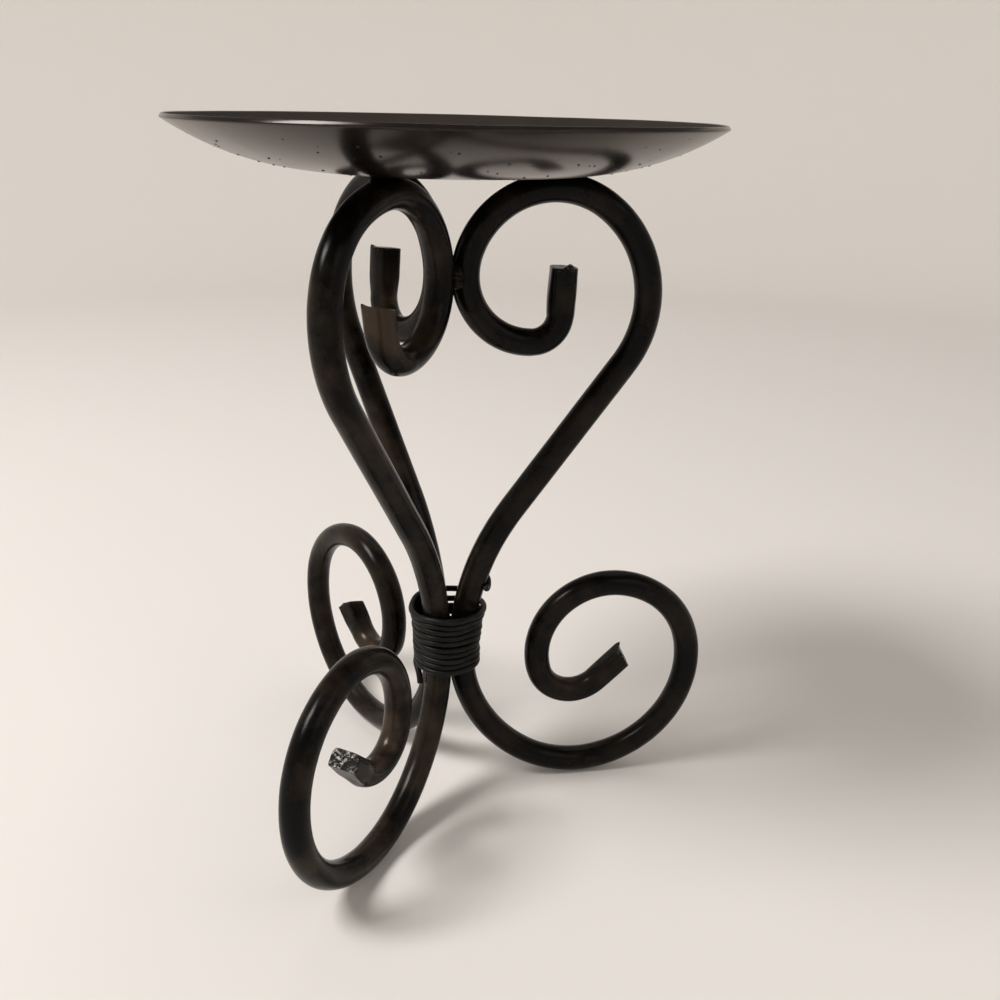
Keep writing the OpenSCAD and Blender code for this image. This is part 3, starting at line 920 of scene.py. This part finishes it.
# Where there are two colours, the material clouds from the first to the second.
BLACK_WIRE = ((0.0032, 0.003, 0.0027), (0.0085, 0.0078, 0.0068))
CUT_WIRE = (0.03, 0.028, 0.026)
PAINTED_WELD = ((0.003, 0.0026, 0.0022), (0.012, 0.009, 0.007))
LACQUER_BELOW = ((0.006, 0.0045, 0.004), (0.018, 0.0135, 0.011))
LACQUER_ABOVE = ((0.008, 0.0055, 0.0039), (0.018, 0.0124, 0.0088))
LACQUER_SPECK = (0.004, 0.003, 0.003)
LACQUER_SHEEN = (1.0, 0.88, 0.79, 1.0)
# How far apart the finest specks lie.
SPECK_SPACING = 3.4
# Painted reflection of the floor: more brown is painted in below these heights, in metres.
FLOOR_SHEEN_HEIGHTS = (0.11, 0.17)
FLOOR_SHEEN = 0.08
# Drawn bar and wire carry fine lines, stretched along them by these shares.
BAR_DRAWN = 0.06
WIRE_DRAWN = 0.1


def forged_bar():
    """Near-black paint over drawn bar, rubbed to a brown bronze in streaks and on the bends, with a
    painted floor reflection low down.
    """
    n = Nodes("forged_bar")
    place = n.straight()
    drawn = n.straight(BAR_DRAWN)
    height = n.add("ShaderNodeSeparateXYZ")
    n.put(height.inputs[0], n.place())
    # Painted reflection: lower on the bars more of the brown is painted in, as the pale floor would light
    # them.
    low = n.minus(1.0, n.ramp(height.outputs["Z"], *FLOOR_SHEEN_HEIGHTS))
    cloud = n.plus(n.noise(place, 16.0, 4.0, 0.6), n.times(low, FLOOR_SHEEN))
    streak = n.noise(drawn, 2.4, 3.0, 0.6)
    rubbed = n.times(n.ramp(cloud, 0.45, 0.78), n.between(streak, 0.2, 1.0))
    inside = n.ramp(n.value("inside"), 0.1, 0.9)
    rubbed = n.plus(rubbed, n.times(inside, n.ramp(cloud, 0.3, 0.6)), clamp=True)
    rubbed = n.times(rubbed, n.value("worn"))
    colour = n.mix(rubbed, BLACK_PAINT, RUBBED_PAINT)
    grain = n.noise(place, 0.7, 2.0, 0.6)
    # Worn edges, and the painted highlight on a bright lip.
    colour = n.mix(n.times(n.value("edge"), n.ramp(grain, 0.48, 0.62)), colour, EDGE_WEAR_AND_HIGHLIGHT)
    raw = n.value("raw")
    chips = n.noise(place, 0.9, 4.0, 0.6, 0.6)
    patches = n.ramp(n.noise(place, 3.4, 1.0, 0.5), 0.42, 0.60)
    bare = n.times(raw, n.times(n.ramp(chips, 0.47, 0.62), patches))
    colour = n.mix(n.times(raw, 0.8), colour, SHEARED_STEEL)
    colour = n.mix(bare, colour, BRIGHT_STEEL)
    peel = n.bump(n.noise(place, 1.1, 2.0, 0.5), 0.30, 0.04)
    lines = n.bump(n.noise(drawn, 0.5, 2.0, 0.6), 0.25, 0.03, peel)
    torn = n.bump(n.times(raw, chips), 1.0, 0.6, lines)
    metal = n.calculate("MAXIMUM", n.between(rubbed, 0.0, 0.3), n.times(bare, 0.6))
    rough = n.between(n.noise(place, 5.0, 4.0, 0.65), 0.15, 0.33)
    return n.set(Base_Color=colour, Metallic=metal, Roughness=rough, Normal=torn, Specular_IOR_Level=0.10)


def annealed_wire():
    """Dull black iron wire, lighter where it is cut."""
    n = Nodes("annealed_wire")
    place = n.straight()
    cloud = n.noise(place, 6.0, 4.0, 0.6)
    colour = n.mix(n.ramp(cloud, 0.35, 0.7), *BLACK_WIRE)
    colour = n.mix(n.times(n.value("raw"), 0.7), colour, CUT_WIRE)
    rough = n.between(n.noise(place, 2.0, 3.0, 0.6), 0.36, 0.55)
    lines = n.bump(n.noise(n.straight(WIRE_DRAWN), 0.3, 2.0, 0.6), 0.3, 0.03)
    return n.set(Base_Color=colour, Metallic=0.05, Roughness=rough, Normal=lines, Specular_IOR_Level=0.18)


def weld_metal():
    """Rough weld metal under the same paint."""
    n = Nodes("weld_metal")
    place = n.straight()
    cloud = n.noise(place, 1.6, 4.0, 0.65)
    colour = n.mix(n.ramp(cloud, 0.4, 0.65), *PAINTED_WELD)
    rough = n.between(cloud, 0.35, 0.6)
    pits = n.bump(n.noise(place, 0.6, 3.0, 0.6), 0.5, 0.12)
    return n.set(Base_Color=colour, Metallic=0.05, Roughness=rough, Normal=pits, Specular_IOR_Level=0.10)


def lacquered_sheet():
    """Dark lacquer with specks in it: wet-looking below, browner and duller on the wall above."""
    n = Nodes("lacquered_sheet")
    place = n.place()
    upper = n.ramp(n.value("upper"), 0.55, 0.9)
    cloud = n.noise(place, 40.0, 4.0, 0.6)
    below = n.mix(n.ramp(cloud, 0.35, 0.7), *LACQUER_BELOW)
    above = n.mix(n.ramp(cloud, 0.3, 0.7), *LACQUER_ABOVE)
    dots = n.add("ShaderNodeTexVoronoi", feature="F1")
    n.put(dots.inputs["Vector"], place)
    dots.inputs["Scale"].default_value = 1 / (SPECK_SPACING * MM)
    speck = n.minus(1.0, n.ramp(dots.outputs["Distance"], 0.05, 0.10))
    speck = n.times(speck, n.ramp(n.noise(place, 7.0, 2.0, 0.6), 0.53, 0.57))
    colour = n.mix(speck, n.mix(upper, below, above), LACQUER_SPECK)
    rough = n.plus(n.between(n.noise(place, 14.0, 4.0, 0.6), 0.13, 0.25), n.times(upper, 0.50))
    rough = n.minus(rough, n.times(n.value("floor"), 0.26))
    rough = n.plus(rough, n.times(speck, 0.4))
    peel = n.bump(n.noise(place, 2.2, 2.0, 0.5), 0.12, 0.04)
    return n.set(Base_Color=colour, Metallic=0.20, Roughness=rough, Normal=n.bump(speck, 0.7, 0.25, peel),
                 Specular_IOR_Level=0.33, Specular_Tint=LACQUER_SHEEN)


MATERIALS = {"forged_bar": forged_bar(), "annealed_wire": annealed_wire(),
             "weld_metal": weld_metal(), "lacquered_sheet": lacquered_sheet()}
for piece in [*bars.values(), dish, wire, *beads]:
    piece.data.materials.append(MATERIALS[piece["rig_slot"]])
# The solids that the pieces replace get the same materials.
for entry in frame["record"]["subparts"]:
    node = bpy.data.objects.get(entry["node"])
    if node is not None and node.type == "MESH":
        if not node.data.materials:
            node.data.materials.append(None)
        for spot in node.material_slots:
            spot.material = MATERIALS[entry["material_slot"]]


# ---------------------------------------------------------------- floor, light and camera, in metres
STAGE_COLOUR = (0.78, 0.745, 0.71, 1.0)
STAGE_FLOOR_R = 0.95
STAGE_BEND_R = 0.35
STAGE_HEIGHT = 0.75
STAGE_SIDES = 128
STAGE_BEND_STEPS = 23
STAGE_FLOOR_RINGS = (0.25, 0.5, STAGE_FLOOR_R)
ROOM_COLOUR = (1.0, 0.97, 0.94, 1.0)
ROOM_LIGHT = 0.26
# Each lamp's place, size, power and colour. All of them face the middle of the stand.
LAMPS = {
    "window": ((-0.80, -0.16, 1.12), (0.40, 0.46), 15.0, (1.0, 0.98, 0.96)),
    "room_fill": ((0.85, -0.9, 0.85), (0.9, 0.9), 2.6, (1.0, 0.94, 0.88)),
    "ceiling": ((0.3, 0.7, 1.5), (1.2, 1.2), 3.0, (1.0, 0.97, 0.93)),
}
LAMP_TARGET = Vector((0.0, 0.0, 0.10))
CAMERA_PLACE = Vector((-0.03813, -0.28429, 0.20939))
CAMERA_HEADING = math.radians(79.22)
CAMERA_PITCH = math.radians(21.07)
CAMERA_ROLL = math.radians(-1.43)
# In millimetres.
CAMERA_LENS = 37.35
CAMERA_SENSOR = 36.0


def stage():
    """A pale floor that curves up into a pale wall all round."""
    n = Nodes("backdrop")
    n.set(Base_Color=STAGE_COLOUR, Roughness=0.9)
    profile = [(r, 0.0) for r in STAGE_FLOOR_RINGS]
    profile += [(STAGE_FLOOR_R + STAGE_BEND_R * math.sin(a), STAGE_BEND_R * (1 - math.cos(a)))
                for a in np.linspace(0, math.pi / 2, STAGE_BEND_STEPS + 1)[1:]]
    profile.append((STAGE_FLOOR_R + STAGE_BEND_R, STAGE_HEIGHT))
    verts = [(r * math.cos(TAU * k / STAGE_SIDES) / MM, r * math.sin(TAU * k / STAGE_SIDES) / MM, z / MM)
             for r, z in profile for k in range(STAGE_SIDES)]
    faces = strip_faces(len(profile), STAGE_SIDES)
    faces += fan_faces(0, STAGE_SIDES, len(verts), onward=False)
    verts.append((0.0, 0.0, 0.0))
    floor = add_mesh("pale_floor", verts, faces)
    floor.data.materials.append(n.material)


def lamp(name, place, size, power, colour):
    data = bpy.data.lights.new(name, "AREA")
    data.shape = "RECTANGLE"
    data.size, data.size_y = size
    data.energy = power
    data.color = colour
    obj = bpy.data.objects.new(name, data)
    bpy.context.scene.collection.objects.link(obj)
    obj.location = place
    obj.rotation_euler = (LAMP_TARGET - Vector(place)).to_track_quat("-Z", "Y").to_euler()


def light():
    world = bpy.data.worlds.new("room")
    world.use_nodes = True
    world.node_tree.nodes["Background"].inputs["Color"].default_value = ROOM_COLOUR
    world.node_tree.nodes["Background"].inputs["Strength"].default_value = ROOM_LIGHT
    bpy.context.scene.world = world
    for name, settings in LAMPS.items():
        lamp(name, *settings)


def camera():
    data = bpy.data.cameras.new("view")
    data.sensor_width = CAMERA_SENSOR
    data.lens = CAMERA_LENS
    data.clip_start, data.clip_end = 0.01, 20.0
    obj = bpy.data.objects.new("view", data)
    bpy.context.scene.collection.objects.link(obj)
    ahead = Vector((math.cos(CAMERA_HEADING) * math.cos(CAMERA_PITCH),
                    math.sin(CAMERA_HEADING) * math.cos(CAMERA_PITCH), -math.sin(CAMERA_PITCH)))
    right = Vector((math.sin(CAMERA_HEADING), -math.cos(CAMERA_HEADING), 0.0))
    down = ahead.cross(right)
    image_x = math.cos(CAMERA_ROLL) * right + math.sin(CAMERA_ROLL) * down
    image_up = math.sin(CAMERA_ROLL) * right - math.cos(CAMERA_ROLL) * down
    facing = Matrix((image_x, image_up, -ahead)).transposed()
    obj.matrix_world = Matrix.Translation(CAMERA_PLACE) @ facing.to_4x4()
    bpy.context.scene.camera = obj


stage()
light()
camera()
bpy.context.scene.view_settings.view_transform = "Standard"
